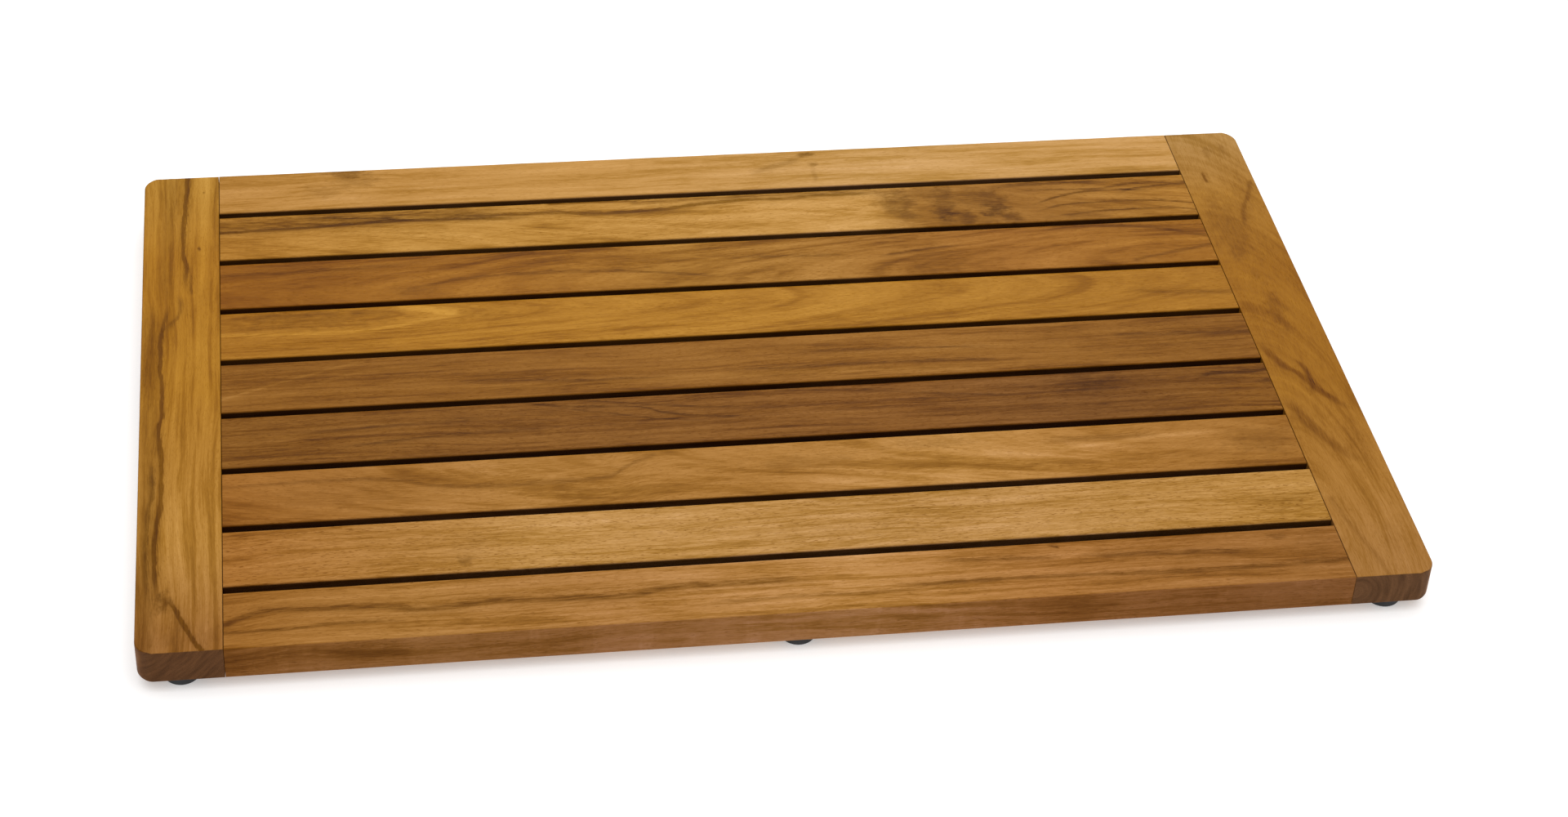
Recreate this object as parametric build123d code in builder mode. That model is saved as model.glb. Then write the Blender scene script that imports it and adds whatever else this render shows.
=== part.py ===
"""Slatted hardwood bath mat: a pinned frame, seven slats, a centre batten and six rubber feet.

Millimetres. The origin is on the floor under the middle of the mat.
+X runs along the slats, +Y from the front rail to the back rail, +Z up.
"""
from build123d import *
import os

# Driving dimensions
mat_length = 800
mat_width = 500
frame_thickness = 24
foot_height = 8
end_rail_width = 52
front_rail_width = 50
back_rail_width = 47
slat_count = 7
slat_width = 51
slat_thickness = 14

corner_radius = 12
top_edge_radius = 1
bottom_edge_radius = 2
shoulder_gap = 0.3
edge_tolerance = 1

rail_tenon_length = 20
rail_tenon_thickness = 10
slat_tenon_length = 14
slat_tenon_thickness = 6
slat_tenon_above_underside = 2
slat_tenon_shoulder = 8
rail_tenon_shoulder = 10
mortise_end_gap = 0.5
mortise_side_gap = 0.25

pin_diameter = 6
pin_length = 18
pin_from_shoulder = 10

batten_width = 40
batten_housing = 12
batten_end_gap = 0.5

screw_diameter = 3.5
hole_clearance = 0.05
tip_room = 1
batten_screw_length = 19
batten_screw_head_diameter = 7
batten_screw_head_height = 2

foot_diameter = 24
foot_base_diameter = 22
foot_edge_radius = 1.5
foot_setback = 5
foot_recess_diameter = 13
foot_recess_depth = 5
foot_screw_length = 14
foot_screw_head_diameter = 7.5
foot_screw_head_height = 2.4
foot_screw_edge_radius = 1
cross_depth = 1.2
cross_arm = 0.9
cross_span = 3.8
washer_diameter = 12
washer_thickness = 1
washer_bore = 4.2

# Sizes that follow from them
frame_bottom = foot_height
frame_top = foot_height + frame_thickness
slat_bottom = frame_top - slat_thickness
board_length = mat_length - 2 * end_rail_width
shoulder_x = board_length / 2 - shoulder_gap
end_rail_x = (mat_length - end_rail_width) / 2
inner_front_y = front_rail_width - mat_width / 2
inner_back_y = mat_width / 2 - back_rail_width
middle_y = (inner_front_y + inner_back_y) / 2
gap = (inner_back_y - inner_front_y - slat_count * slat_width) / (slat_count + 1)
slat_pitch = slat_width + gap
slat_positions = [
    middle_y + (slat_count + 1 - 2 * number) / 2 * slat_pitch for number in range(1, slat_count + 1)
]
front_rail_y = (inner_front_y - mat_width / 2) / 2
back_rail_y = (inner_back_y + mat_width / 2) / 2
rail_positions = [front_rail_y, back_rail_y]

rail_mortise_depth = rail_tenon_length + mortise_end_gap
slat_mortise_depth = slat_tenon_length + mortise_end_gap
rail_tenon_width = back_rail_width - 2 * rail_tenon_shoulder
rail_tenon_bottom = frame_bottom + (frame_thickness - rail_tenon_thickness) / 2
slat_tenon_width = slat_width - 2 * slat_tenon_shoulder
slat_tenon_bottom = slat_bottom + slat_tenon_above_underside
pin_x = board_length / 2 + pin_from_shoulder
pin_radius = pin_diameter / 2
pin_spots = [(x, y) for x in (-pin_x, pin_x) for y in rail_positions]

screw_radius = screw_diameter / 2
batten_screw_hole_depth = batten_screw_length + tip_room
batten_thickness = slat_bottom - frame_bottom
batten_length = inner_back_y - inner_front_y + 2 * (batten_housing - batten_end_gap)
front_housing_y = inner_front_y - batten_housing / 2
back_housing_y = inner_back_y + batten_housing / 2
batten_screw_spots = [(0, y) for y in [front_housing_y] + slat_positions + [back_housing_y]]

foot_y = mat_width / 2 - foot_setback - foot_base_diameter / 2
foot_columns = {"left": -end_rail_x, "middle": 0, "right": end_rail_x}
foot_rows = {"front": -foot_y, "back": foot_y}
foot_spots = [(x, y) for x in foot_columns.values() for y in foot_rows.values()]
foot_seat = foot_recess_depth - washer_thickness
foot_screw_bottom = foot_seat - foot_screw_head_height
foot_screw_hole_depth = foot_seat + foot_screw_length + tip_room - frame_bottom

os.makedirs("parts", exist_ok=True)


def finish(part, name):
    """Label a finished piece and write it."""
    part.label = name
    export_step(part, f"parts/{name}.step")


def edges_off_plane(part, x):
    """The edges of a part, except for those whose middle lies in the plane at x."""
    return part.edges().filter_by(lambda edge: abs(edge.center().X - x) > edge_tolerance)


def cut_cross_recess():
    """Cut a cross recess up into the screw head at each of the current locations."""
    for arm in ((cross_span, cross_arm), (cross_arm, cross_span)):
        Box(*arm, cross_depth, align=(Align.CENTER, Align.CENTER, Align.MIN), mode=Mode.SUBTRACT)


# End rails: mortised along the inner side, round at the two outer corners
for side, name in ((-1, "left_end_rail"), (1, "right_end_rail")):
    inner_x = side * board_length / 2
    with BuildPart() as end_rail:
        with BuildSketch(Plane.XY.offset(frame_bottom)):
            with Locations((side * end_rail_x, 0)):
                Rectangle(end_rail_width, mat_width)
            outer_corners = vertices().sort_by(Axis.X)[:2] if side < 0 else vertices().sort_by(Axis.X)[-2:]
            fillet(outer_corners, corner_radius)
        extrude(amount=frame_thickness)

        fillet(edges_off_plane(end_rail, inner_x).group_by(Axis.Z)[-1], top_edge_radius)
        fillet(edges_off_plane(end_rail, inner_x).group_by(Axis.Z)[0], bottom_edge_radius)

        with BuildSketch(Plane.XY.offset(rail_tenon_bottom)):
            with Locations(*[(inner_x + side * rail_mortise_depth / 2, y) for y in rail_positions]):
                Rectangle(rail_mortise_depth, rail_tenon_width + 2 * mortise_side_gap)
        extrude(amount=rail_tenon_thickness, mode=Mode.SUBTRACT)

        with BuildSketch(Plane.XY.offset(slat_tenon_bottom)):
            with Locations(*[(inner_x + side * slat_mortise_depth / 2, y) for y in slat_positions]):
                Rectangle(slat_mortise_depth, slat_tenon_width + 2 * mortise_side_gap)
        extrude(amount=slat_tenon_thickness, mode=Mode.SUBTRACT)

        with BuildSketch(Plane.XY.offset(frame_bottom)):
            with Locations(*[(side * pin_x, y) for y in rail_positions]):
                Circle(pin_radius)
        extrude(amount=pin_length, mode=Mode.SUBTRACT)

        with BuildSketch(Plane.XY.offset(frame_bottom)):
            with Locations(*[(side * end_rail_x, y) for y in foot_rows.values()]):
                Circle(screw_radius + hole_clearance)
        extrude(amount=foot_screw_hole_depth, mode=Mode.SUBTRACT)
    finish(end_rail.part, name)

# Front and back rails: full thickness, a pinned tenon at each end, a housing for the batten below
for name, rail_y, rail_width, housing_y, rail_foot_y in (
    ("front_rail", front_rail_y, front_rail_width, front_housing_y, -foot_y),
    ("back_rail", back_rail_y, back_rail_width, back_housing_y, foot_y),
):
    with BuildPart() as rail:
        with BuildSketch(Plane.XY.offset(frame_bottom)):
            with Locations((0, rail_y)):
                Rectangle(2 * shoulder_x, rail_width)
        extrude(amount=frame_thickness)
        fillet(rail.edges().filter_by(Axis.X).group_by(Axis.Z)[-1], top_edge_radius)
        fillet(rail.edges().filter_by(Axis.X).group_by(Axis.Z)[0], bottom_edge_radius)

        with BuildSketch(Plane.XY.offset(rail_tenon_bottom)):
            with Locations((0, rail_y)):
                Rectangle(board_length + 2 * rail_tenon_length, rail_tenon_width)
        extrude(amount=rail_tenon_thickness)

        with BuildSketch(Plane.XY.offset(frame_bottom)):
            with Locations((0, housing_y)):
                Rectangle(batten_width + 2 * mortise_side_gap, batten_housing)
        extrude(amount=batten_thickness, mode=Mode.SUBTRACT)

        with BuildSketch(Plane.XY.offset(frame_bottom)):
            with Locations((-pin_x, rail_y), (pin_x, rail_y)):
                Circle(pin_radius)
        extrude(amount=pin_length, mode=Mode.SUBTRACT)

        with BuildSketch(Plane.XY.offset(frame_bottom)):
            with Locations((0, rail_foot_y)):
                Circle(screw_radius + hole_clearance)
        extrude(amount=foot_screw_hole_depth, mode=Mode.SUBTRACT)

        with BuildSketch(Plane.XY.offset(frame_bottom)):
            with Locations((0, housing_y)):
                Circle(screw_radius + hole_clearance)
        extrude(amount=batten_screw_hole_depth, mode=Mode.SUBTRACT)
    finish(rail.part, name)

# Slats, numbered from the back rail to the front rail
for number, slat_y in enumerate(slat_positions, start=1):
    with BuildPart() as slat:
        with BuildSketch(Plane.XY.offset(slat_bottom)):
            with Locations((0, slat_y)):
                Rectangle(2 * shoulder_x, slat_width)
        extrude(amount=slat_thickness)
        fillet(slat.edges().filter_by(Axis.X), top_edge_radius)

        with BuildSketch(Plane.XY.offset(slat_tenon_bottom)):
            with Locations((0, slat_y)):
                Rectangle(board_length + 2 * slat_tenon_length, slat_tenon_width)
        extrude(amount=slat_tenon_thickness)

        with BuildSketch(Plane.XY.offset(slat_bottom)):
            with Locations((0, slat_y)):
                Circle(screw_radius + hole_clearance)
        extrude(amount=batten_screw_hole_depth - batten_thickness, mode=Mode.SUBTRACT)
    finish(slat.part, f"slat_{number}")

# Centre batten, screwed up into every slat and into both rails
with BuildPart() as batten:
    with BuildSketch(Plane.XY.offset(frame_bottom)):
        with Locations((0, middle_y)):
            Rectangle(batten_width, batten_length)
    extrude(amount=batten_thickness)
    fillet(batten.edges().filter_by(Axis.Y).group_by(Axis.Z)[0], top_edge_radius)
    with Locations(Plane.XY.offset(frame_bottom).rotated((180, 0, 0))):
        with Locations(*[(x, -y) for x, y in batten_screw_spots]):
            CounterSinkHole(
                radius=screw_radius + hole_clearance,
                counter_sink_radius=batten_screw_head_diameter / 2 + hole_clearance,
                counter_sink_angle=90,
            )
finish(batten.part, "centre_batten")

# Batten screws: countersunk heads with a cross recess
with BuildPart() as batten_screws:
    with Locations(*[(x, y, frame_bottom) for x, y in batten_screw_spots]):
        Cone(
            bottom_radius=batten_screw_head_diameter / 2,
            top_radius=batten_screw_head_diameter / 2 - batten_screw_head_height,
            height=batten_screw_head_height,
            align=(Align.CENTER, Align.CENTER, Align.MIN),
        )
        Cylinder(
            radius=screw_radius,
            height=batten_screw_length,
            align=(Align.CENTER, Align.CENTER, Align.MIN),
        )
        cut_cross_recess()
finish(batten_screws.part, "batten_screws")

# Rail pins: dowels through the tenons of the front and back rails, flush with the underside
with BuildPart() as rail_pins:
    with BuildSketch(Plane.XY.offset(frame_bottom)):
        with Locations(*pin_spots):
            Circle(pin_radius - hole_clearance)
    extrude(amount=pin_length - tip_room)
finish(rail_pins.part, "rail_pins")

# Feet: tapered rubber buttons with a recess for the washer and the screw head
for row, y in foot_rows.items():
    for column, x in foot_columns.items():
        with BuildPart() as foot:
            with BuildSketch(Plane.XY.offset(foot_height)):
                with Locations((x, y)):
                    Circle(foot_diameter / 2)
            with BuildSketch(Plane.XY):
                with Locations((x, y)):
                    Circle(foot_base_diameter / 2)
            loft()
            fillet(foot.edges().filter_by(GeomType.CIRCLE).group_by(Axis.Z)[0], foot_edge_radius)
            with Locations(Plane.XY.rotated((180, 0, 0))):
                with Locations((x, -y)):
                    CounterBoreHole(
                        radius=screw_radius + hole_clearance,
                        counter_bore_radius=foot_recess_diameter / 2,
                        counter_bore_depth=foot_recess_depth,
                    )
        finish(foot.part, f"foot_{row}_{column}")

# Foot washers, at the top of the recesses
with BuildPart() as foot_washers:
    with BuildSketch(Plane.XY.offset(foot_seat)):
        with Locations(*foot_spots):
            Circle(washer_diameter / 2)
            Circle(washer_bore / 2, mode=Mode.SUBTRACT)
    extrude(amount=washer_thickness)
finish(foot_washers.part, "foot_washers")

# Foot screws: round heads below the washers, with the same cross recess
with BuildPart() as foot_screws:
    with BuildSketch(Plane.XY.offset(foot_screw_bottom)):
        with Locations(*foot_spots):
            Circle(foot_screw_head_diameter / 2)
    extrude(amount=foot_screw_head_height)
    fillet(foot_screws.edges().group_by(Axis.Z)[0], foot_screw_edge_radius)
    with BuildSketch(Plane.XY.offset(foot_seat)):
        with Locations(*foot_spots):
            Circle(screw_radius)
    extrude(amount=foot_screw_length)
    with Locations(*[(x, y, foot_screw_bottom) for x, y in foot_spots]):
        cut_cross_recess()
finish(foot_screws.part, "foot_screws")
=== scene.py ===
"""Looks of the slatted hardwood bath mat: oiled boards, batten and dowels, steel fasteners, rubber feet."""
import math

import bmesh
import bpy
import numpy as np
from mathutils import Matrix, Vector

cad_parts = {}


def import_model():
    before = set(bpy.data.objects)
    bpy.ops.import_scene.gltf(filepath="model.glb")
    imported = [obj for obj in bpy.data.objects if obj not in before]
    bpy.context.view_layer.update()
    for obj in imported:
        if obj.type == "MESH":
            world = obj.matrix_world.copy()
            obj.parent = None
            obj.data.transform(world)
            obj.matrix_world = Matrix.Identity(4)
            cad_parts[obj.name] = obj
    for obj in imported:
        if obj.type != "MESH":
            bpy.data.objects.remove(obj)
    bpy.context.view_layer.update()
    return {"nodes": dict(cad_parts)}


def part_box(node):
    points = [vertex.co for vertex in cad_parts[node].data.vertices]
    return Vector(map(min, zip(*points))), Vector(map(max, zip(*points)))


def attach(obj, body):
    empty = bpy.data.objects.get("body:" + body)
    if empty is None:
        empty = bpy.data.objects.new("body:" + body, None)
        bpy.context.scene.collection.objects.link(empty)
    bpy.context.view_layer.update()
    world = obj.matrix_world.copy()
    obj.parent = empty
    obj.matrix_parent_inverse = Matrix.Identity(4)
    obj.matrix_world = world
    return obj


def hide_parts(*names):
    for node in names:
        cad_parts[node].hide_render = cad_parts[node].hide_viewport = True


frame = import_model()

MM = 0.001
BODY = "root"
X_AXIS, Y_AXIS = 0, 1


# ---------------------------------------------------------------- sizes taken from the frame

mat_low, mat_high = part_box("left_end_rail")[0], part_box("right_end_rail")[1]
frame_bottom, top = mat_low[2] / MM, mat_high[2] / MM
half_width = mat_high[1] / MM
inner_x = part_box("right_end_rail")[0][0] / MM

# Sizes of the CAD boards, in millimetres.
joint_gap = 0.3
corner_radius = 12.0
bottom_edge = 2.0
rail_tenon_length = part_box("front_rail")[1][0] / MM - inner_x
slat_tenon_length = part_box("slat_1")[1][0] / MM - inner_x
rail_tenon = dict(width=27.0, low=15.0, high=25.0)
slat_tenon = dict(width=35.0, low=20.0, high=26.0)

# How far the edges are eased, and how much they and the sides wander.
top_edge = 1.1
inner_edge = 0.2
shoulder_ease = 0.25
edge_waver = 0.16
edge_wavelength = 90
side_play = 0.1
side_wavelength = 400

# How far an end rail's first inner section stands from its end.
first_step = 0.3

# Raised grain and cupping of a top face: ranges of ridge spacing, ridge height and cup depth.
ridges_summed = 5
ridge_spacing = (3.5, 14)
ridge_height = (0.01, 0.035)
cup_depth = (0.02, 0.1)

# How the ridges drift sideways along a board.
drift_wavelength = 260
drift_size = 2.5

# The undersides stay this far above the ends of the dowels and the batten, so that both show cleanly.
under_gap = 0.15


# ---------------------------------------------------------------- seeded unevenness

WAVES = 5


def wander(seed, wavelength, size):
    """A smooth, seeded function of one length: the slow unevenness of a hand-finished edge or face."""
    rng = np.random.default_rng(seed)
    phases = rng.uniform(0, 2 * math.pi, WAVES)
    rates = rng.uniform(0.6, 2.4, WAVES) * 2 * math.pi / wavelength

    def at(t):
        return size * sum(math.sin(rate * t + phase) for rate, phase in zip(rates, phases)) / WAVES

    return at


# ---------------------------------------------------------------- board meshes

# How finely a board is divided: points and arc steps round a section, and sections along the board.
TOP_POINTS = 30
SIDE_POINTS = 6
UNDER_POINTS = 8
TOP_ARC_STEPS = 5
UNDER_ARC_STEPS = 4
STRAIGHT_BOARD_STATIONS = 233
END_RAIL_STATIONS = 160
CORNER_STATIONS = 13


def arc(centre, radius, start, stop, steps):
    """Points on part of a circle, angles in degrees."""
    turns = np.radians(np.linspace(start, stop, steps + 1))
    return [(centre[0] + radius * math.cos(a), centre[1] + radius * math.sin(a)) for a in turns]


def section(left, right, low, high, rounds, crown):
    """One cross-section of a board as (across, height) points, clockwise from the top left.

    rounds gives the edge radius at the top left, top right, bottom right and bottom left.
    crown(across) is the small relief of the top face.
    """
    top_left, top_right, bottom_right, bottom_left = rounds
    points = [(v, high + crown(v)) for v in np.linspace(left + top_left, right - top_right, TOP_POINTS)]
    points += arc((right - top_right, high - top_right), top_right, 90, 0, TOP_ARC_STEPS)[1:]
    points += [(right, h) for h in np.linspace(high - top_right, low + bottom_right, SIDE_POINTS)[1:-1]]
    points += arc((right - bottom_right, low + bottom_right), bottom_right, 0, -90, UNDER_ARC_STEPS)
    points += [(v, low) for v in np.linspace(right - bottom_right, left + bottom_left, UNDER_POINTS)[1:-1]]
    points += arc((left + bottom_left, low + bottom_left), bottom_left, -90, -180, UNDER_ARC_STEPS)
    points += [(left, h) for h in np.linspace(low + bottom_left, high - top_left, SIDE_POINTS)[1:-1]]
    points += arc((left + top_left, high - top_left), top_left, 180, 90, TOP_ARC_STEPS)[:-1]
    return points


def relief(seed, half):
    """Top-face relief of one board, never above the top: a slight cup, and raised grain along the board."""
    rng = np.random.default_rng(seed)
    waves = [
        (rng.uniform(*ridge_spacing), rng.uniform(0, 2 * math.pi), rng.uniform(*ridge_height))
        for _ in range(ridges_summed)
    ]
    drift = wander(seed + 7, drift_wavelength, drift_size)
    cup = rng.uniform(*cup_depth)
    highest = sum(size for _, _, size in waves)

    def at(u, v):
        ridges = sum(a * math.sin(2 * math.pi * (v + drift(u)) / w + p) for w, p, a in waves)
        return ridges - highest - cup * (v / half) ** 2

    return at


def loft(name, rings, axis, centre):
    """A closed mesh from a list of (along, ring) sections, placed in the row frame in metres."""
    count = len(rings[0][1])
    corners = []
    for u, ring in rings:
        for v, h in ring:
            x, y = (u, centre + v) if axis == X_AXIS else (centre + v, u)
            corners.append((x * MM, y * MM, h * MM))
    faces = []
    for r in range(len(rings) - 1):
        for k in range(count):
            a, b = r * count + k, r * count + (k + 1) % count
            faces.append((a, b, b + count, a + count))
    last = (len(rings) - 1) * count
    faces.append(tuple(range(count - 1, -1, -1)))
    faces.append(tuple(last + k for k in range(count)))
    mesh = bpy.data.meshes.new(name)
    mesh.from_pydata(corners, [], faces)
    return tidy(mesh)


def tidy(mesh):
    """Merge doubled corners, face everything outwards, and keep the crisp edges crisp."""
    work = bmesh.new()
    work.from_mesh(mesh)
    bmesh.ops.remove_doubles(work, verts=work.verts, dist=1e-6)
    bmesh.ops.dissolve_degenerate(work, edges=work.edges, dist=1e-7)
    bmesh.ops.recalc_face_normals(work, faces=work.faces)
    work.to_mesh(mesh)
    work.free()
    mesh.shade_smooth()
    mesh.set_sharp_from_angle(angle=math.radians(40))
    return mesh


def squeeze(ring, width, low, high):
    """The ring pressed onto the rectangle of a tenon."""
    return [(min(max(v, -width / 2), width / 2), min(max(h, low), high)) for v, h in ring]


def straight_board(node, seed, tenon, tenon_length):
    """A slat or a front or back rail: eased edges, relief on the top, and a tenon at each end."""
    low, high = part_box(node)
    centre = (low[1] + high[1]) / 2 / MM
    half = (high[1] - low[1]) / 2 / MM
    under = low[2] / MM + under_gap
    shoulder = inner_x - joint_gap
    under_edge = bottom_edge if node.endswith("rail") else top_edge
    crown = relief(seed, half)
    edges = [wander(seed + k, edge_wavelength, edge_waver) for k in range(2)]
    sides = [wander(seed + k, side_wavelength, side_play) for k in range(2, 4)]
    inner = np.linspace(-shoulder + shoulder_ease, shoulder - shoulder_ease, STRAIGHT_BOARD_STATIONS)
    near_end = shoulder - 0.4 * shoulder_ease
    stations = [-shoulder, -near_end, *inner, near_end, shoulder]
    rings = []
    for u in stations:
        ease = max(0.0, shoulder_ease - (shoulder - abs(u)))
        rounds = (top_edge + edges[0](u), top_edge + edges[1](u), under_edge, under_edge)
        ring = section(
            side_play - half + sides[0](u), half - side_play + sides[1](u),
            under, top - ease, rounds, lambda v: crown(u, v),
        )
        rings.append((u, ring))
    first = squeeze(rings[0][1], **tenon)
    last = squeeze(rings[-1][1], **tenon)
    rings = [(-inner_x - tenon_length, first), (-shoulder, first), *rings]
    rings += [(shoulder, last), (inner_x + tenon_length, last)]
    return loft(node + "_board", rings, X_AXIS, centre)


def end_rail(node, seed):
    """An end rail along Y: a crisp inner edge, and an outer side that turns round both corners."""
    low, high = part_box(node)
    centre = (low[0] + high[0]) / 2 / MM
    half = (high[0] - low[0]) / 2 / MM
    outward = 1 if centre > 0 else -1
    crown = relief(seed, half)
    edge = wander(seed, edge_wavelength, edge_waver)
    turns = np.radians(np.linspace(90, 0, CORNER_STATIONS))
    corner = [half_width - corner_radius * (1 - math.cos(a)) for a in turns]
    inner = np.linspace(-half_width + corner_radius, half_width - corner_radius, END_RAIL_STATIONS)
    near_end = half_width - first_step
    stations = sorted({-u for u in corner} | set(inner) | set(corner) | {near_end, -near_end})
    rings = []
    for u in stations:
        to_end = half_width - abs(u)
        inset = round_over(to_end, corner_radius)
        drop = round_over(to_end, top_edge)
        rise = round_over(to_end, bottom_edge)
        outer = half - inset
        outer_round = top_edge + edge(u)
        if outward > 0:
            span, rounds = (-half, outer), (inner_edge, outer_round, bottom_edge, inner_edge)
        else:
            span, rounds = (-outer, half), (outer_round, inner_edge, inner_edge, bottom_edge)
        flat = 1 - min(1.0, drop)
        under = frame_bottom + under_gap + rise
        ring = section(*span, under, top - drop, rounds, lambda v: flat * crown(u, v))
        rings.append((u, ring))
    return loft(node + "_board", rings, Y_AXIS, centre)


def round_over(distance, radius):
    """How far a rounded edge or corner has fallen back at a distance from the outline."""
    if distance >= radius:
        return 0.0
    return radius - math.sqrt(radius ** 2 - (radius - distance) ** 2)


# ---------------------------------------------------------------- node trees

def shade(red, green, blue):
    """A colour given as screen values, as the linear colour that a shader takes."""
    def linear(value):
        value /= 255
        return value / 12.92 if value <= 0.04045 else ((value + 0.055) / 1.055) ** 2.4
    return (linear(red), linear(green), linear(blue), 1.0)


class Shader:
    """One material's node tree, with short calls for the nodes that are used again and again."""

    def __init__(self, name):
        self.material = bpy.data.materials.new(name)
        self.material.use_nodes = True
        self.tree = self.material.node_tree
        self.tree.nodes.clear()
        output = self.tree.nodes.new("ShaderNodeOutputMaterial")
        self.surface = self.tree.nodes.new("ShaderNodeBsdfPrincipled")
        self.tree.links.new(self.surface.outputs[0], output.inputs[0])

    def feed(self, socket, value):
        if isinstance(value, bpy.types.NodeSocket):
            self.tree.links.new(value, socket)
        elif value is not None:
            socket.default_value = value

    def node(self, kind, *values, **settings):
        made = self.tree.nodes.new("ShaderNode" + kind)
        for key, setting in settings.items():
            setattr(made, key, setting)
        for socket, value in zip(made.inputs, values):
            self.feed(socket, value)
        return made

    def math(self, operation, *values):
        return self.node("Math", *values, operation=operation).outputs[0]

    def add(self, first, *others):
        for other in others:
            first = self.math("ADD", first, other)
        return first

    def times(self, first, *others):
        for other in others:
            first = self.math("MULTIPLY", first, other)
        return first

    def less(self, first, second):
        return self.math("SUBTRACT", first, second)

    def ease(self, value, start, stop, low=0.0, high=1.0):
        """Goes smoothly from low to high as value goes from start to stop."""
        made = self.node("MapRange", value, start, stop, low, high, interpolation_type="SMOOTHSTEP")
        return made.outputs[0]

    def vector(self, x, y, z):
        return self.node("CombineXYZ", x, y, z).outputs[0]

    def noise(self, x, y, z, detail=2.0, roughness=0.5):
        made = self.node("TexNoise", self.vector(x, y, z))
        made.inputs["Scale"].default_value = 1.0
        made.inputs["Detail"].default_value = detail
        made.inputs["Roughness"].default_value = roughness
        return made.outputs["Fac"]

    def mix(self, amount, first, second, blend="MIX"):
        made = self.node("Mix", data_type="RGBA", blend_type=blend)
        self.feed(made.inputs[0], amount)
        self.feed(made.inputs[6], first)
        self.feed(made.inputs[7], second)
        return made.outputs[2]

    def ramp(self, value, stops):
        made = self.node("ValToRGB", value)
        elements = made.color_ramp.elements
        while len(elements) < len(stops):
            elements.new(1.0)
        for element, (position, colour) in zip(elements, stops):
            element.position = position
            element.color = colour
        return made.outputs[0]

    def curve(self, value, points):
        """A smooth line through (input, output) points, level beyond its ends."""
        made = self.node("FloatCurve", 1.0, value)
        line = made.mapping.curves[0]
        while len(line.points) < len(points):
            line.points.new(0.5, 0.5)
        for point, place in zip(line.points, points):
            point.location = place
            point.handle_type = "AUTO_CLAMPED"
        made.mapping.update()
        return made.outputs[0]

    def place(self):
        """The place of a point in the mat, as x, y and z in millimetres."""
        place = self.node("SeparateXYZ", self.node("TexCoord").outputs["Object"]).outputs
        return [self.times(part, 1 / MM) for part in place]

    def finish(self, colour, roughness, bump=None, depth=0.1, strength=1.0):
        """Connect the surface. depth is the bump's height in millimetres."""
        self.feed(self.surface.inputs["Base Color"], colour)
        self.feed(self.surface.inputs["Roughness"], roughness)
        if bump is not None:
            made = self.node("Bump")
            made.inputs["Strength"].default_value = strength
            made.inputs["Distance"].default_value = depth * MM
            self.feed(made.inputs["Height"], bump)
            self.tree.links.new(made.outputs[0], self.surface.inputs["Normal"])
        return self.material


# ---------------------------------------------------------------- wood

# The highest reach of a curve across a board, in millimetres, from edge to edge.
SPAN = 60.0


# A streak whose end lies inside the board fades out there over FADE at most. A streak thinner than
# THIN_STREAK that ends further than SIDE_REACH across runs off the side, and fades over SHORT_FADE.
# A streak that ends within END_MARGIN of the board's end doesn't fade. All in millimetres.
FADE = 40.0
SHORT_FADE = 5.0
THIN_STREAK = 4
SIDE_REACH = 20
END_MARGIN = 4


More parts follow.
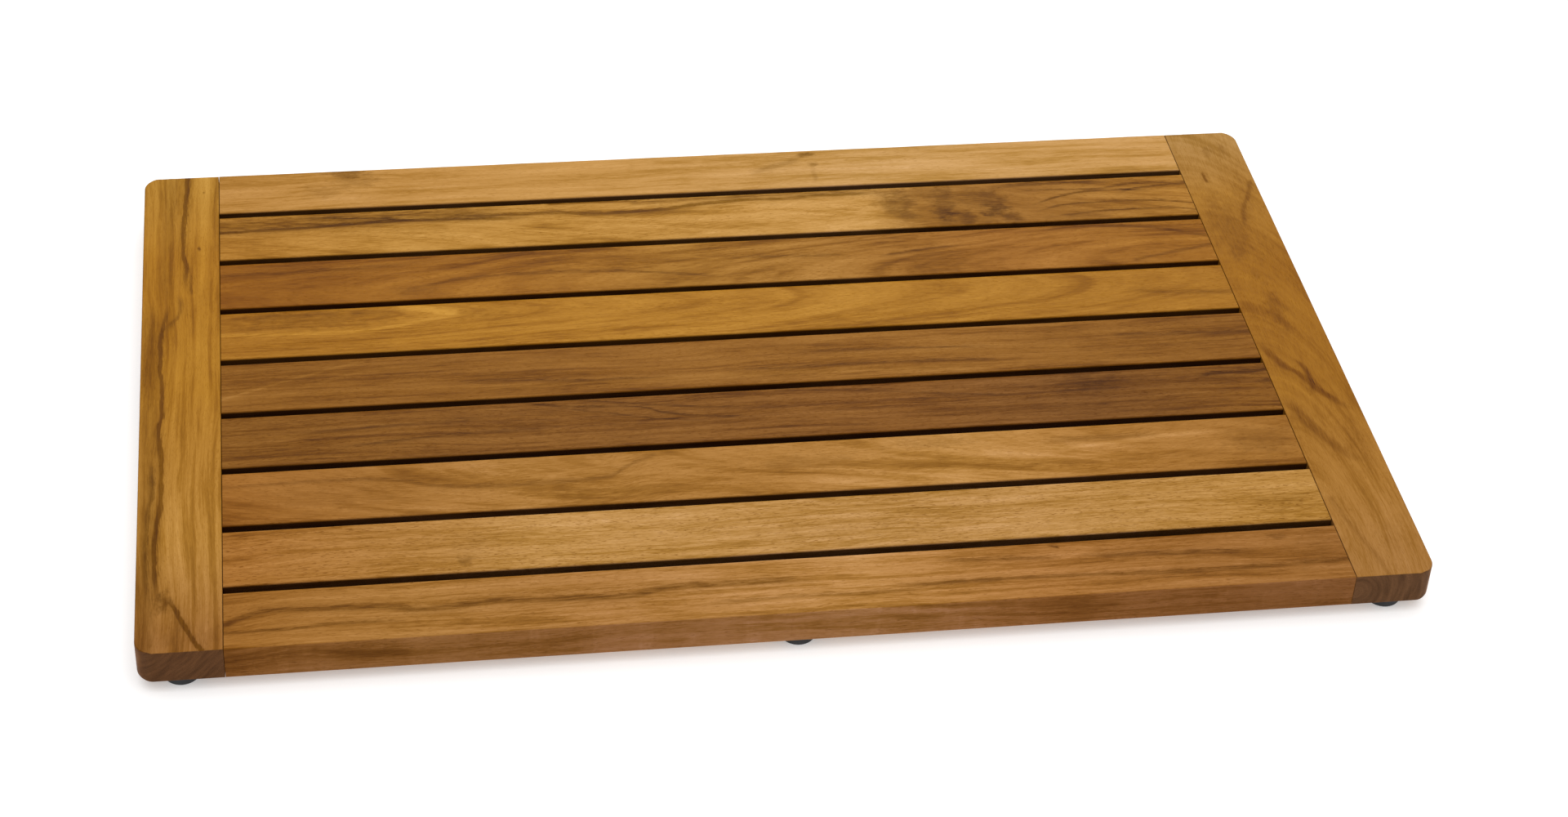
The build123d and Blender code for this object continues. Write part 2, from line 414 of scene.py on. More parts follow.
class Grain:
    """A board's own coordinates in millimetres: along the grain, across it, and down from the top face.

    position runs from 0 to 1 along the board. flow is the across value of the grain, which wanders and bends.
    fibre is the finest figure, and frayed, grit and ragged are the unevenness of streaks and patches.
    """

    def __init__(self, s, axis, centre, half, seed, bend, fine):
        x, y, z = s.place()
        # In every noise below, the factors are ripples per millimetre along the grain and across it.
        self.s = s
        self.half = half
        self.along = x if axis == X_AXIS else y
        self.across = s.less(y if axis == X_AXIS else x, centre)
        self.depth = s.less(top, z)
        wobble = s.noise(s.times(self.along, 0.05), s.times(self.across, 0.16), seed, 3)
        self.position = s.add(s.times(self.along, 0.5 / half), 0.5)
        warp = s.noise(s.times(self.along, 0.006), s.times(self.across, 0.02),
                       s.add(s.times(self.depth, 0.02), seed), 2)
        self.flow = s.add(self.across, s.times(s.less(warp, 0.5), 14.0))
        if bend:
            self.flow = s.less(self.flow, self.line(bend))
        self.fibre = s.noise(s.times(self.along, 0.085), s.times(self.flow, 1.1),
                             s.add(s.times(self.depth, 1.2), seed), 3, 0.7)
        self.frayed = s.add(
            self.across,
            s.times(s.less(wobble, 0.5), 3.0),
            s.times(s.less(self.fibre, 0.5), 4.0),
        )
        patchy = s.noise(s.times(self.along, 0.04), s.times(self.across, 0.3), seed + 2, 2)
        grit = s.times(s.ease(self.fibre, 0.3, 0.7, 1.2, 0.55), s.ease(patchy, 0.3, 0.65, 0.6, 1.2))
        self.grit = s.add(1 - fine, s.times(grit, fine))
        self.ragged = [self.rags(seed + k) for k in (4, 8)]

    def rags(self, seed):
        """The unevenness of a patch's outline."""
        s = self.s
        noise = s.noise(s.times(self.along, 0.09), s.times(self.across, 0.12), seed, 3, 0.62)
        return s.times(s.less(noise, 0.5), 3.0)

    def ring(self, across, below, slope):
        """Distance from the log's heart, which lies across and below the board and slopes along it."""
        s = self.s
        sideways = s.less(self.flow, across)
        downwards = s.add(self.depth, below, s.times(self.along, slope))
        return s.math("SQRT", s.add(s.times(sideways, sideways), s.times(downwards, downwards)))

    def line(self, points):
        """The across value, at each place along the board, of a smooth line through the points."""
        places = [(u * 0.5 / self.half + 0.5, v / SPAN + 0.5) for u, v in points]
        return self.s.times(self.s.less(self.s.curve(self.position, places), 0.5), SPAN)

    def stroke(self, points, width, strength):
        """Mask of a soft streak through points, fading out at those ends that lie inside the board."""
        s = self.s
        distance = s.math("ABSOLUTE", s.less(self.frayed, self.line(points)))
        core = s.ease(distance, width * 1.15, width * 0.25, 0.0, strength * 1.3)
        halo = s.ease(distance, width * 3.2, 0.0, 0.0, strength * 0.35)
        mask = s.math("MINIMUM", s.times(s.add(core, halo), self.grit), 1.0)
        quarter = (points[-1][0] - points[0][0]) / 4
        for (end, side), inward in ((points[0], 1), (points[-1], -1)):
            runs_off_the_side = abs(side) > SIDE_REACH and width < THIN_STREAK
            length = SHORT_FADE if runs_off_the_side else min(FADE, quarter)
            if abs(end) < self.half - END_MARGIN:
                mask = s.times(mask, s.ease(self.along, end, end + inward * length))
        return mask

    def blot(self, along, across, reach, width, strength):
        """Mask of a soft oval patch with an uneven outline."""
        s = self.s
        first = s.add(s.times(s.less(self.along, along), 1 / reach), self.ragged[0])
        second = s.add(s.times(s.less(self.across, across), 1 / width), self.ragged[1])
        distance = s.math("SQRT", s.add(s.times(first, first), s.times(second, second)))
        return s.times(s.ease(distance, 1.35, 0.2, 0.0, strength), s.ease(self.fibre, 0.3, 0.7, 1.1, 0.8))


# Every board's colour is multiplied by the tint of the oil.
OIL = (0.86, 0.80, 0.49, 1)

# What the grain does to a board's colour, from its darkest line to its palest.
TINTS = [
    (0.0, (0.49, 0.39, 0.05, 1)),
    (0.35, (0.82, 0.765, 0.48, 1)),
    (0.5, (1, 1, 1, 1)),
    (0.68, (1.11, 1.15, 1.36, 1)),
    (1.0, (1.32, 1.45, 2.2, 1)),
]

# Tints of single features, multiplied into the colour around them. The flank and gap tints are painted shade,
# not features of the wood.
DARK_STREAK = (0.45, 0.37, 0.03, 1)
PALE_STREAK = (1.30, 1.43, 2.1, 1)
PALE_PATCH = (1.24, 1.34, 1.9, 1)
FLECK = (1.24, 1.33, 1.8, 1)
PORE = (0.54, 0.43, 0.18, 1)
END_PORE = (0.4, 0.38, 0.36, 1)
# Painted shade: the sides of the boards darker than their tops, as they get less light.
PAINTED_FLANK_SHADE = (0.70, 0.65, 0.80, 1)
# Painted shade: the walls of the drain gaps, darkened where little light reaches them.
PAINTED_GAP_SHADE = (0.10, 0.07, 0.05, 1)


def growth(s, g, ring, seed, contrast, fine):
    """The grain's tone, 0.5 on the whole, and the growth lines that it is partly made of. Part of the tone is
    painted sheen: a soft mottling along the grain in place of the satin sheen of the fibres.
    """
    bands = s.noise(s.times(g.along, 0.0045), s.times(ring, 0.13), seed, 2)
    lines = s.noise(s.times(g.along, 0.010), s.times(ring, 0.45), seed + 3, 3, 0.6)
    # Partly the grain's own mottling, partly painted sheen: the satin sheen of the fibres as lighter and
    # darker colour.
    mottle_and_painted_sheen = s.noise(s.times(g.along, 0.035), s.times(g.flow, 0.28), s.add(seed, 7.5), 3, 0.6)
    patch = s.noise(s.times(g.along, 0.015), s.times(g.across, 0.05), seed + 5, 2)
    tone = s.add(
        0.5,
        s.times(s.less(bands, 0.5), 1.10 * contrast),
        s.times(s.less(lines, 0.5), 1.10 * contrast),
        s.times(s.less(mottle_and_painted_sheen, 0.5), 0.60 * fine),
        s.times(s.less(g.fibre, 0.5), 1.15 * fine),
        s.times(s.less(patch, 0.5), 0.60 * contrast),
    )
    return tone, lines


def sawn_end(s, g, ring, ground, seed):
    """The colour of sawn end grain: growth rings and dark pores."""
    rings = s.noise(s.times(ring, 0.35), s.times(g.flow, 0.05), s.times(g.depth, 0.05), 3, 0.6)
    cut = s.ramp(rings, [(0.3, (0.36, 0.38, 0.56, 1)), (0.7, (0.66, 0.72, 1.1, 1))])
    dots = s.noise(s.times(g.across, 1.8), s.times(g.depth, 1.8), seed, 1)
    colour = s.mix(1.0, cut, ground, "MULTIPLY")
    return s.mix(s.ease(dots, 0.56, 0.68, 0.0, 0.6), colour, END_PORE, "MULTIPLY")


def painted_gap_shade(s, g, normal, gap_side):
    """Mask of the painted shade on the sides that face a drain gap, from just under the top edge down."""
    facing = s.times(normal, gap_side) if gap_side else s.math("ABSOLUTE", normal)
    return s.times(s.ease(facing, 0.3, 0.6), s.ease(g.depth, 0.5, 1.5, 0.0, 0.9))


def wood(node, axis, seed, base, dark=(), light=(), blots=(), pale_blots=(), pith=(170, 60, 0.0),
         bend=None, contrast=1.0, fine=0.8, pores=1.0, gap_side=0, streak=DARK_STREAK):
    """Oiled teak for one board.

    base: colours along the board, as (along, colour), the board's own tone with painted light in it too. dark
    and light: streaks as (points, width, strength).
    blots and pale_blots: (along, across, reach, width, strength). pith: across, below and slope of the
    log's heart. bend: points of a line that the grain follows. contrast: of the bands, fine: of the fibres,
    pores: of the pores. streak: the tint of the dark streaks and blots.
    gap_side: 0 if both long sides face a gap, 1 or -1 if only the far or the near one does, None if neither.
    """
    low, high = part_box(node)
    centre = (low[1 - axis] + high[1 - axis]) / 2 / MM
    half = half_width if axis == Y_AXIS else inner_x
    s = Shader("wood_" + node)
    g = Grain(s, axis, centre, half, seed, bend, fine)

    ring = g.ring(*pith)
    tone, lines = growth(s, g, ring, seed, contrast, fine)
    # The colours along the board: partly the wood's own tone, partly painted light.
    stops = [(u * 0.5 / half + 0.5, shade(*colour)) for u, colour in base]
    ground = s.mix(1.0, s.ramp(g.position, stops), OIL, "MULTIPLY")
    colour = s.mix(1.0, ground, s.ramp(tone, TINTS), "MULTIPLY")

    fleck = s.noise(s.times(g.along, 0.12), s.times(g.flow, 0.9), s.add(seed, 2.5), 2, 0.6)
    colour = s.mix(s.ease(fleck, 0.54, 0.74, 0.0, 0.62 * fine), colour, FLECK, "MULTIPLY")

    for points, width, strength in dark:
        colour = s.mix(g.stroke(points, width, strength), colour, streak, "MULTIPLY")
    for points, width, strength in light:
        colour = s.mix(g.stroke(points, width, strength), colour, PALE_STREAK, "MULTIPLY")
    for spot in blots:
        colour = s.mix(g.blot(*spot), colour, streak, "MULTIPLY")
    for spot in pale_blots:
        colour = s.mix(g.blot(*spot), colour, PALE_PATCH, "MULTIPLY")

    pore = s.noise(s.times(g.along, 0.26), s.times(g.flow, 1.9), s.add(s.times(g.depth, 2.0), seed), 1, 0.5)
    pore = s.times(s.ease(pore, 0.57, 0.70), s.ease(lines, 0.35, 0.62, 0.35, 1.0))
    colour = s.mix(s.times(pore, 0.7 * pores * fine), colour, PORE, "MULTIPLY")

    normal = s.node("SeparateXYZ", s.node("NewGeometry").outputs["Normal"]).outputs
    end_grain = s.ease(s.math("ABSOLUTE", normal[axis]), 0.55, 0.85)
    colour = s.mix(end_grain, colour, sawn_end(s, g, ring, ground, seed))
    # Painted shade: the sides of a board darker than its top face.
    flank_shade = s.ease(s.math("ABSOLUTE", normal[2]), 0.97, 0.35)
    colour = s.mix(flank_shade, colour, PAINTED_FLANK_SHADE, "MULTIPLY")
    # Painted shade on the walls of the drain gaps.
    if gap_side is not None:
        colour = s.mix(painted_gap_shade(s, g, normal[1 - axis], gap_side), colour, PAINTED_GAP_SHADE, "MULTIPLY")

    height = s.add(s.times(lines, 0.5), s.times(g.fibre, 0.45), s.times(pore, -0.7))
    roughness = s.add(0.40, s.times(g.fibre, 0.16), s.times(pore, 0.15), s.times(end_grain, 0.15))
    s.surface.inputs["Specular IOR Level"].default_value = 0.05
    return s.finish(colour, roughness, height, depth=0.12, strength=0.7)


# Each board's figure. Along and across are in millimetres from the board's middle, on its top face. The base
# colours are partly each board's own tone and partly painted light: most boards are lighter towards the
# middle and darker towards both ends.
BOARDS = {
    "back_rail": dict(
        base=[(-340, (188, 139, 83)), (-100, (195, 147, 90)), (120, (203, 159, 113)),
              (330, (200, 154, 105))],
        contrast=0.7, fine=0.5, pith=(60, 90, 0.0), gap_side=-1,
        dark=[([(30, -4), (55, 6), (74, 14)], 4, 0.3)],
        blots=[(-257, 20, 14, 6, 0.8), (-250, 11, 18, 11, 0.4), (-274, -2, 16, 10, 0.3),
               (77, 18, 7, 2.6, 0.85), (79, 5, 4, 3, 0.75), (79, -8, 2.5, 12, 0.3)],
        pale_blots=[(-262, -9, 16, 5, 0.3), (-200, 0, 18, 10, 0.2)],
    ),
    "slat_1": dict(
        base=[(-340, (181, 129, 60)), (-220, (190, 141, 74)), (-100, (190, 141, 74)), (110, (199, 152, 95)),
              (150, (166, 118, 58)), (230, (153, 104, 44)), (335, (174, 123, 56))],
        contrast=1.0, pith=(-40, 120, 0.05),
        bend=[(-340, 0), (-100, -2), (60, 5), (180, 9), (260, 0), (340, -4)],
        dark=[([(-348, 13), (-284, 15), (-220, 16.5), (-140, 17)], 11, 0.55),
              ([(-348, 7), (-284, 9), (-220, 12.5), (-183, 11), (-120, 7)], 2.2, 0.85),
              ([(-300, 20), (-286, 20.3), (-250, 17), (-210, 13)], 1.6, 0.6),
              ([(-195, 16), (-150, 14), (-110, 13.5), (-82, 9.5), (-60, 10), (-37, 11.5), (0, 17),
                (27, 18.5), (55, 18), (92, 20), (135, 17)], 2.8, 0.75),
              ([(-120, 24.5), (-73, 24), (-50, 22)], 1.6, 0.6),
              ([(-60, 21), (0, 23), (60, 23.5), (150, 19)], 3.5, 0.42),
              ([(215, 8), (240, 14), (275, 12), (310, 17), (347, 16)], 1.6, 0.5),
              ([(195, 19), (238, 22), (300, 20)], 3, 0.6),
              ([(225, -8), (250, 4), (265, 8), (285, 9.5), (325, 7)], 1.5, 0.75),
              ([(225, -16), (262, -5), (285, -4), (311, -5), (347, -11)], 1.4, 0.65),
              ([(240, -20), (280, -16), (320, -15), (347, -19)], 1.6, 0.55),
              ([(290, 4), (320, 12), (348, 14)], 1.8, 0.5)],
        blots=[(131, 8, 13, 17, 0.7), (137, -12, 8, 9, 0.5), (152, 15, 22, 9, 0.4),
               (166, 3, 9, 20, 0.6), (166, -10, 12, 8, 0.85), (180, -18, 6, 9, 0.65),
               (190, 8, 18, 16, 0.38), (203, -4, 10, 22, 0.55), (202, -8, 9, 7, 0.85),
               (211, -17, 8, 9, 0.7), (262, -22, 22, 4, 0.4)],
        pale_blots=[(192, -17, 8, 6, 0.5), (340, -20, 12, 6, 0.4), (110, -12, 30, 9, 0.2)],
    ),
    "slat_2": dict(
        base=[(-340, (137, 84, 18)), (-150, (155, 102, 33)), (-30, (167, 118, 51)), (60, (166, 117, 55)),
              (200, (157, 104, 43)), (330, (154, 101, 32))],
        contrast=1.5, pith=(-20, 70, -0.05),
        bend=[(-340, 2), (-215, -3), (-120, 3), (-30, -2), (120, 0), (260, 2), (345, -3)],
        dark=[([(-348, 12), (-300, 13), (-250, 14.5), (-205, 17)], 3.2, 0.34),
              ([(-235, -20), (-215, -12), (-201, -8.5), (-183, -4), (-137, -1.5), (-92, -2.5), (-55, -6.5),
                (-27, -11.5), (5, -18)], 2.2, 0.42),
              ([(-170, 20), (-128, 24)], 2.4, 0.35),
              ([(0, 5), (37, 4), (90, 3)], 1.8, 0.35),
              ([(105, -2), (135, 3), (170, 8)], 2.0, 0.45),
              ([(235, 24), (265, 23.5), (302, 19.5), (325, 13), (347, 4)], 2.8, 0.4),
              ([(285, -21), (300, -17.5), (330, -10), (348, -6)], 2.2, 0.36)],
        blots=[(-216, -16, 16, 5, 0.35)],
    ),
    "slat_3": dict(
        base=[(-340, (165, 112, 37)), (-180, (174, 121, 41)), (60, (178, 126, 48)), (330, (164, 112, 37))],
        contrast=0.9, fine=0.65, pith=(15, 30, 0.10),
        dark=[([(-290, 22), (-250, 20), (-215, 21)], 4, 0.2), ([(270, 2), (310, -4), (348, -7)], 3, 0.3)],
        light=[([(-348, 1), (-300, -1), (-262, -2), (-235, 2), (-210, 7), (-184, 12)], 2.2, 0.8),
               ([(-238, 25), (-215, 21), (-200, 16), (-184, 12)], 4.0, 1.0)],
        blots=[(-292, 13, 58, 12, 0.36), (-305, 20, 26, 4, 0.4), (-172, 12, 20, 8, 0.22)],
    ),
    "slat_4": dict(
        base=[(-340, (141, 93, 35)), (-150, (141, 93, 35)), (120, (151, 102, 43)), (330, (140, 92, 34))],
        contrast=1.05, pith=(120, 80, 0.0),
        dark=[([(-210, -6), (-150, -8), (-100, -12), (-40, -12)], 1.8, 0.35),
              ([(25, 7), (80, 6), (128, 4.5), (180, 1.5)], 1.8, 0.38),
              ([(-20, -9.5), (73, -9), (146, -11), (190, -15.5)], 1.6, 0.42),
              ([(240, 8), (300, 6), (348, 4)], 2.5, 0.35)],
        light=[([(-348, -12), (-339, -8.5), (-302, 6), (-271, 17), (-250, 23)], 1.7, 0.5),
               ([(-310, -8), (-288, -1), (-245, 12), (-205, 16), (-175, 18)], 1.9, 0.35),
               ([(-200, -16), (-100, -15), (0, -15), (80, -16.5), (170, -19)], 3.6, 0.45),
               ([(275, -3), (310, -5), (340, -2)], 2.4, 0.35)],
    ),
    "slat_5": dict(
        base=[(-340, (133, 87, 32)), (-100, (133, 87, 36)), (90, (133, 86, 36)), (220, (122, 78, 33)),
              (335, (133, 86, 29))],
        contrast=1.2, fine=1.0, pith=(-150, 60, 0.02),
        dark=[([(-155, 25), (-110, 17), (-84, 15.5), (-62, 7), (-30, 0), (10, -3)], 1.5, 0.5),
              ([(-140, 20), (-105, 11), (-70, 2), (-25, -6)], 1.3, 0.4),
              ([(-120, 24.5), (-80, 18), (-50, 12.5), (0, 7)], 1.2, 0.4),
              ([(-285, -12), (-220, -6), (-183, -4), (-130, -3)], 2.2, 0.4),
              ([(-310, 4), (-250, 8), (-200, 10), (-165, 12)], 2.4, 0.35),
              ([(295, 14), (318, 16.5), (335, 17), (348, 18)], 2.2, 0.9),
              ([(10, 24), (50, 21), (90, 16), (130, 10), (190, 3)], 1.5, 0.35)],
        light=[([(295, 10), (330, 13), (348, 14.5)], 1.6, 0.35)],
        blots=[(228, 14, 26, 12, 0.38), (345, 5, 7, 5, 0.7), (326, 9, 14, 4, 0.2)],
    ),
    "slat_6": dict(
        base=[(-340, (152, 99, 41)), (-160, (177, 128, 74)), (0, (173, 123, 66)), (120, (189, 140, 86)),
              (220, (176, 125, 68)), (335, (155, 105, 46))],
        contrast=1.1, fine=0.7, pith=(30, 120, -0.05),
        bend=[(-340, 6), (-200, -3), (-110, -2), (-60, 4), (200, 0), (300, 5)],
        dark=[([(-348, 12), (-275, 13), (-238, 9.5), (-209, 1), (-165, -1.5), (-110, 0.5), (-95, 8),
                (-84, 15.5), (-70, 22)], 2.6, 0.3),
              ([(175, 12.5), (220, 12), (265, 13.5)], 4, 0.32)],
        light=[([(165, 3.5), (220, 5.5), (250, 9), (275, 12), (310, 13)], 2.6, 0.5)],
        pale_blots=[(-105, -13, 40, 6, 0.6), (80, -15, 60, 5, 0.45), (190, -6, 60, 14, 0.4),
                    (-190, 14, 30, 7, 0.3)],
        blots=[(-290, -4, 60, 14, 0.16), (20, 4, 34, 9, 0.25), (325, 0, 26, 16, 0.35),
               (110, 16, 30, 5, 0.3)],
    ),
    "slat_7": dict(
        base=[(-340, (166, 112, 56)), (-150, (190, 144, 92)), (100, (191, 145, 98)), (335, (184, 137, 79))],
        contrast=0.75, fine=0.9, pith=(120, 80, 0.0), pores=1.5,
        blots=[(-201, -15, 6, 4, 0.55), (-196, -2, 14, 14, 0.16), (323, -3, 24, 9, 0.18),
               (30, -8, 60, 12, 0.1)],
    ),
    "front_rail": dict(
        base=[(-340, (157, 106, 50)), (-230, (169, 120, 66)), (-120, (175, 125, 77)), (40, (190, 140, 92)),
              (150, (172, 119, 69)), (335, (153, 103, 54))],
        contrast=1.0, pith=(90, 60, 0.0), gap_side=1,
        bend=[(-340, -2), (-290, 2), (-200, 0), (-80, 2), (100, 0), (330, -4)],
        dark=[([(-348, -5), (-335, 2), (-318, 6.5), (-288, 5.5), (-260, 5), (-220, -0.5), (-183, 3),
                (-165, 2), (-110, 0), (-73, 5.5), (20, 4.5)], 3.6, 0.5),
              ([(-348, -11), (-310, -10.5), (-275, -8.5), (-235, -10)], 1.8, 0.5),
              ([(85, 14.5), (130, 12.5), (175, 10.5)], 2.6, 0.4),
              ([(170, 11.5), (238, 8.5), (300, 5.5)], 3.2, 0.5),
              ([(50, -6), (110, -6), (165, -6.5), (256, -9.5), (348, -8)], 2.6, 0.5),
              ([(-70, -13), (0, -10), (90, -11)], 2.2, 0.32),
              ([(160, 23.5), (163, 22), (169, 19.5)], 1.2, 0.9)],
        blots=[(308, 18, 6, 4, 0.5), (332, 3, 22, 18, 0.2)],
    ),
    "left_end_rail": dict(
        base=[(-240, (158, 109, 62)), (-150, (187, 138, 74)), (0, (174, 122, 40)), (150, (172, 119, 35)),
              (240, (185, 137, 61))],
        contrast=1.0, fine=0.4, pith=(-70, 60, 0.0), gap_side=None,
        dark=[([(-250, 13.5), (-248, 12.4), (-236, 7), (-220, 0.5), (-208, -4), (-198, -9)], 2.1, 1.0),
              ([(-215, -9), (-207, -11), (-196, -13), (-178, -14.4), (-159, -14.8), (-137, -14), (-118, -12),
                (-106, -11.4), (-80, -11.4), (-53, -12.8), (-40, -13.7), (-20, -11.5), (0, -11.8),
                (30, -13.2), (55, -13), (75, -11), (105, -6.5)], 1.9, 0.85),
              ([(-215, -18), (-186, -19.4), (-159, -20.7), (-139, -20), (-120, -19.4), (-96, -17),
                (-80, -17.4), (-60, -18.7)], 2.2, 0.5),
              ([(65, -8), (74, -6.5), (85, -1.5), (95, 0), (110, -2.5)], 2.4, 0.4),
              ([(105, 2.5), (125, 3), (139, 3.4), (152, 2), (172, 1.4), (199, 2), (225, 3.4),
                (247, 4)], 2.0, 0.85),
              ([(-250, -20), (-100, -20), (60, -21), (110, -22)], 7.5, 0.36),
              ([(90, -8), (140, -10), (200, -8), (247, -6)], 6, 0.25),
              ([(105, 7), (120, 6.7), (135, 6.5)], 1.6, 0.4)],
        blots=[(-206, -10, 11, 6, 0.85), (161, 12.4, 3, 1.5, 1.0), (230, 15.7, 2, 1.2, 0.7),
               (-238, -3, 16, 7, 0.3), (-238, 18, 12, 7, 0.2), (-86, -17, 12, 2, 0.5)],
        pale_blots=[(-180, 8, 30, 12, 0.15), (30, 6, 70, 14, 0.12)],
    ),
    "right_end_rail": dict(
        base=[(-240, (168, 121, 74)), (-160, (170, 121, 62)), (-60, (161, 110, 36)), (80, (156, 104, 27)),
              (170, (166, 117, 47)), (240, (178, 136, 86))],
        contrast=0.6, fine=0.45, pith=(-25, 50, 0.25), gap_side=None,
        dark=[([(-145, 24), (-142, 16), (-138, 8.4), (-130, 1.8), (-119, -3.5), (-106, -10), (-86, -17),
                (-62, -24)], 5.5, 0.42),
              ([(-90, 24), (-81, 15), (-73, 9.7), (-60, 1.8), (-45, -5), (-35, -13), (-21, -19),
                (-2, -24)], 4.2, 0.6),
              ([(-70, -2), (-47, 0.5), (-24, -6)], 2.2, 0.5),
              ([(-248, -5), (-225, -9.5), (-192, -17), (-170, -22)], 2.4, 0.25),
              ([(125, 2), (132, 4), (152, 9), (166, 15.7), (188, 23)], 2.6, 0.4),
              ([(183, -9.6), (188, -10), (193, -10.4), (200, -10)], 1.3, 1.0)],
        blots=[(27, -1, 26, 7, 0.5), (70, -4, 8, 4, 0.4), (98, -10, 12, 5, 0.4), (130, -8, 44, 16, 0.36),
               (224, 1, 8, 4, 0.35), (226, 12, 9, 4, 0.35), (-214, 7, 18, 7, 0.2), (-120, 14, 24, 10, 0.22),
               (160, 12, 22, 9, 0.22)],
        pale_blots=[(-190, 4, 40, 16, 0.18), (215, -8, 40, 14, 0.18), (115, 19, 30, 6, 0.2)],
        streak=(0.52, 0.41, 0.03, 1),
    ),
}


# ---------------------------------------------------------------- other materials

def batten_wood():
    """The centre batten: the same oiled teak, plainer."""
    return wood("centre_batten", Y_AXIS, 91, [(-200, (158, 108, 52)), (200, (150, 101, 46))],
                contrast=0.9, gap_side=None)


def pin_wood():
    """Dowel ends: darker end grain with fine dots."""
    s = Shader("wood_rail_pins")
    x, y, z = s.place()
    streaks = s.noise(s.times(x, 1.4), s.times(y, 1.4), s.times(z, 0.08), 3)
    colour = s.ramp(streaks, [(0.3, shade(96, 62, 30)), (0.7, shade(150, 104, 56))])
    return s.finish(colour, s.ease(streaks, 0.3, 0.7, 0.75, 0.6), streaks, depth=0.1)


def rubber():
    """Matte moulded rubber, slightly grey where it is scuffed near the floor."""
    s = Shader("foot_rubber")
    x, y, z = s.place()
    cloud = s.noise(s.times(x, 0.35), s.times(y, 0.35), s.times(z, 0.5), 4, 0.6)
    speck = s.noise(s.times(x, 3.0), s.times(y, 3.0), s.times(z, 3.0), 2, 0.6)
    colour = s.ramp(cloud, [(0.3, shade(30, 32, 34)), (0.7, shade(48, 50, 52))])
    scuff = s.times(s.ease(z, 2.2, 0.2), s.ease(speck, 0.45, 0.65, 0.1, 0.6))
    colour = s.mix(scuff, colour, shade(96, 95, 92))
    s.surface.inputs["Specular IOR Level"].default_value = 0.4
    grain = s.add(cloud, s.times(speck, 0.4))
    return s.finish(colour, s.ease(cloud, 0.3, 0.7, 0.55, 0.75), grain, depth=0.12)


def steel():
    """Bright stainless steel with fine turned lines and faint water marks."""
    s = Shader("stainless")
    x, y, z = s.place()
    turned = s.noise(s.times(x, 0.8), s.times(y, 0.8), s.times(z, 9.0), 3, 0.6)
    marks = s.noise(s.times(x, 0.5), s.times(y, 0.5), s.times(z, 0.5), 4, 0.6)
    colour = s.ramp(marks, [(0.3, shade(168, 166, 160)), (0.7, shade(204, 203, 200))])
    s.surface.inputs["Metallic"].default_value = 1.0
    return s.finish(colour, s.ease(marks, 0.3, 0.7, 0.42, 0.24), turned, depth=0.02)


# ---------------------------------------------------------------- build the pieces


def place_board(mesh, node, material):
    """Put a board's mesh in the scene as the piece that stands for its CAD node."""
    board = bpy.data.objects.new(node + "_board", mesh)
    bpy.context.collection.objects.link(board)
    mesh.materials.append(material)
    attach(board, BODY)
    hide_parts(node)


# The end rails run along Y and every other board along X. The CAD nodes that stay get new materials only.
for number, (node, look) in enumerate(BOARDS.items()):
    seed = 17 * number + 5
    if node.endswith("end_rail"):
        mesh = end_rail(node, seed)
    elif node.endswith("rail"):
        mesh = straight_board(node, seed, rail_tenon, rail_tenon_length)
    else:
        mesh = straight_board(node, seed, slat_tenon, slat_tenon_length)
    axis = Y_AXIS if node.endswith("end_rail") else X_AXIS
    place_board(mesh, node, wood(node, axis, seed, **look))

kept = {"centre_batten": batten_wood(), "rail_pins": pin_wood()}
rubber_material, steel_material = rubber(), steel()
for node in frame["nodes"]:
    if "screws" in node or "washers" in node:
        kept[node] = steel_material
    elif node.startswith("foot_"):
        kept[node] = rubber_material
for node, material in kept.items():
    for holder in frame["nodes"][node].material_slots:
        holder.material = material


# ---------------------------------------------------------------- floor, light and camera

def studio_floor():
    """A wide, plain, nearly white floor."""
    reach = 8.0
    mesh = bpy.data.meshes.new("floor")
    mesh.from_pydata([(-reach, -reach, 0), (reach, -reach, 0), (reach, reach, 0), (-reach, reach, 0)],
                     [], [(0, 1, 2, 3)])
    floor = bpy.data.objects.new("floor", mesh)
    bpy.context.collection.objects.link(floor)
    s = Shader("floor")
    place = s.node("SeparateXYZ", s.node("TexCoord").outputs["Object"]).outputs
    cloud = s.noise(place[0], place[1], 0.0, 3)
    colour = s.ramp(cloud, [(0.3, (0.77, 0.77, 0.77, 1)), (0.7, (0.79, 0.79, 0.79, 1))])
    s.surface.inputs["Emission Color"].default_value = (1, 1, 1, 1)
    s.surface.inputs["Emission Strength"].default_value = 0.35
    mesh.materials.append(s.finish(colour, 0.9))


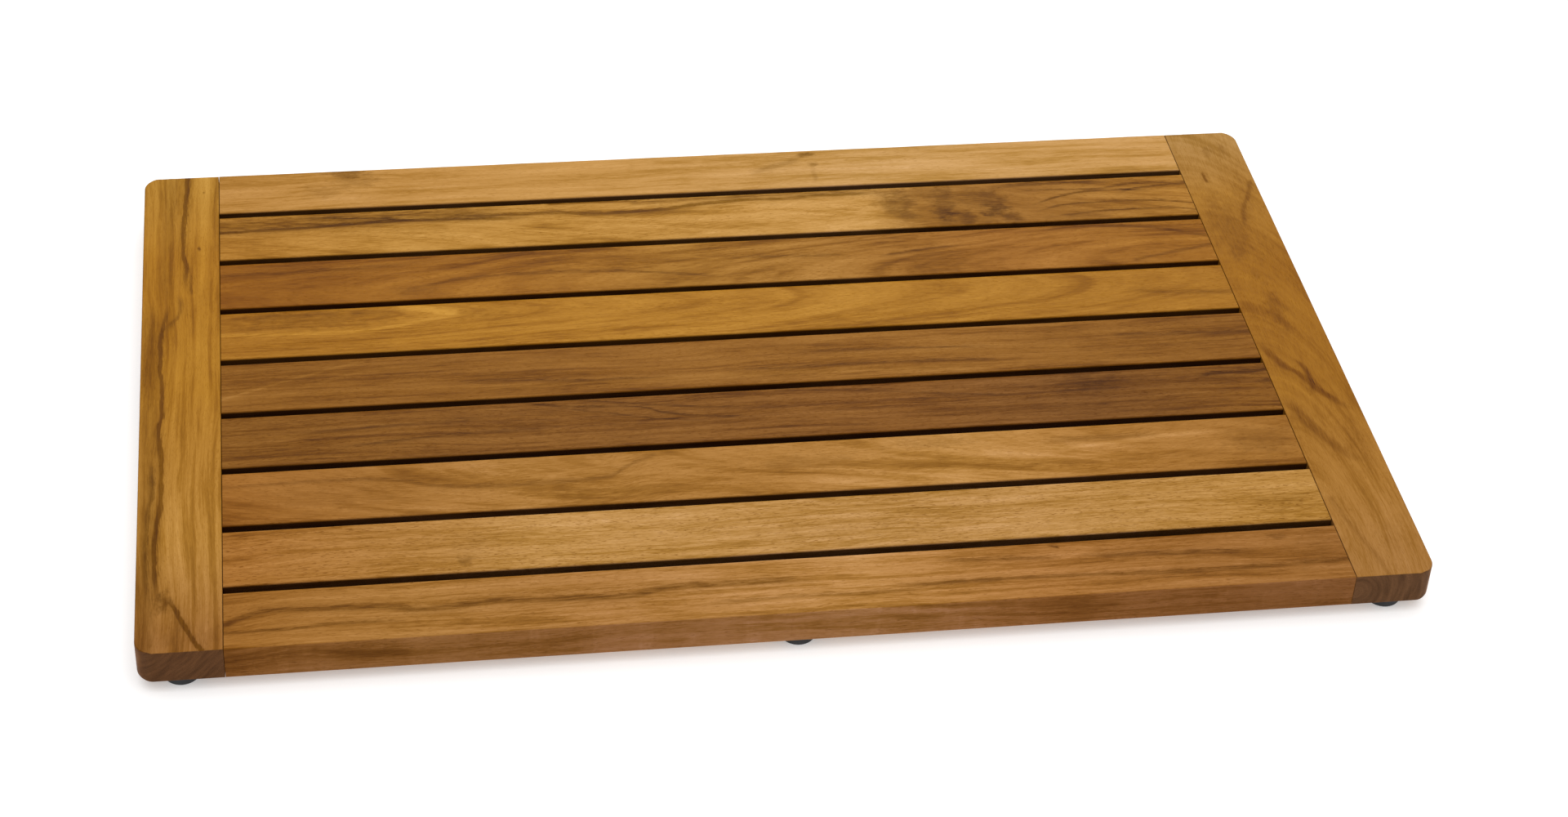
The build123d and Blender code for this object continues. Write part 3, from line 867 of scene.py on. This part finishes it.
def area_light(name, position, aim, size, power):
    """A rectangular softbox at a position, turned to its aim. Metres and watts."""
    light = bpy.data.lights.new(name, "AREA")
    light.shape = "RECTANGLE"
    light.size, light.size_y = size
    light.energy = power
    lamp = bpy.data.objects.new(name, light)
    bpy.context.collection.objects.link(lamp)
    turn = (Vector(aim) - Vector(position)).to_track_quat("-Z", "Y").to_matrix().to_4x4()
    lamp.matrix_world = Matrix.Translation(position) @ turn


def sun(name, strength, softness, tilt, heading):
    """A very soft sun, angles in degrees."""
    light = bpy.data.lights.new(name, "SUN")
    light.energy = strength
    light.angle = math.radians(softness)
    lamp = bpy.data.objects.new(name, light)
    bpy.context.collection.objects.link(lamp)
    lamp.rotation_euler = (math.radians(tilt), 0, math.radians(heading))


def world(strength):
    """Even white light from all round."""
    background = bpy.data.worlds.new("studio")
    bpy.context.scene.world = background
    background.use_nodes = True
    node = background.node_tree.nodes["Background"]
    node.inputs[0].default_value = (1, 1, 1, 1)
    node.inputs[1].default_value = strength


def camera(position, heading, pitch, roll, focal_length, shift):
    """The view: position in metres, angles in degrees, heading towards +X and pitch downwards."""
    lens = bpy.data.cameras.new("camera")
    lens.sensor_width = 36
    lens.lens = focal_length
    lens.shift_x = shift
    view = bpy.data.objects.new("camera", lens)
    bpy.context.collection.objects.link(view)
    turn = (
        Matrix.Rotation(-math.radians(heading), 4, "Z")
        @ Matrix.Rotation(math.pi / 2 - math.radians(pitch), 4, "X")
        @ Matrix.Rotation(math.radians(roll), 4, "Z")
    )
    view.matrix_world = Matrix.Translation(position) @ turn
    bpy.context.scene.camera = view


studio_floor()
world(strength=0.42)
sun("overhead", strength=1.9, softness=70, tilt=12, heading=0)
area_light("back_softbox", position=(0.5, 2.6, 1.9), aim=(0.05, 0.1, 0.0), size=(2.2, 1.2), power=26)

# In front of the mat and a little to its left, looking down on it.
camera((-0.2742, -1.6360, 1.2654 + top * MM), heading=9.665, pitch=38.18, roll=2.87,
       focal_length=71.67, shift=0.0205)
bpy.context.scene.view_settings.view_transform = "Standard"
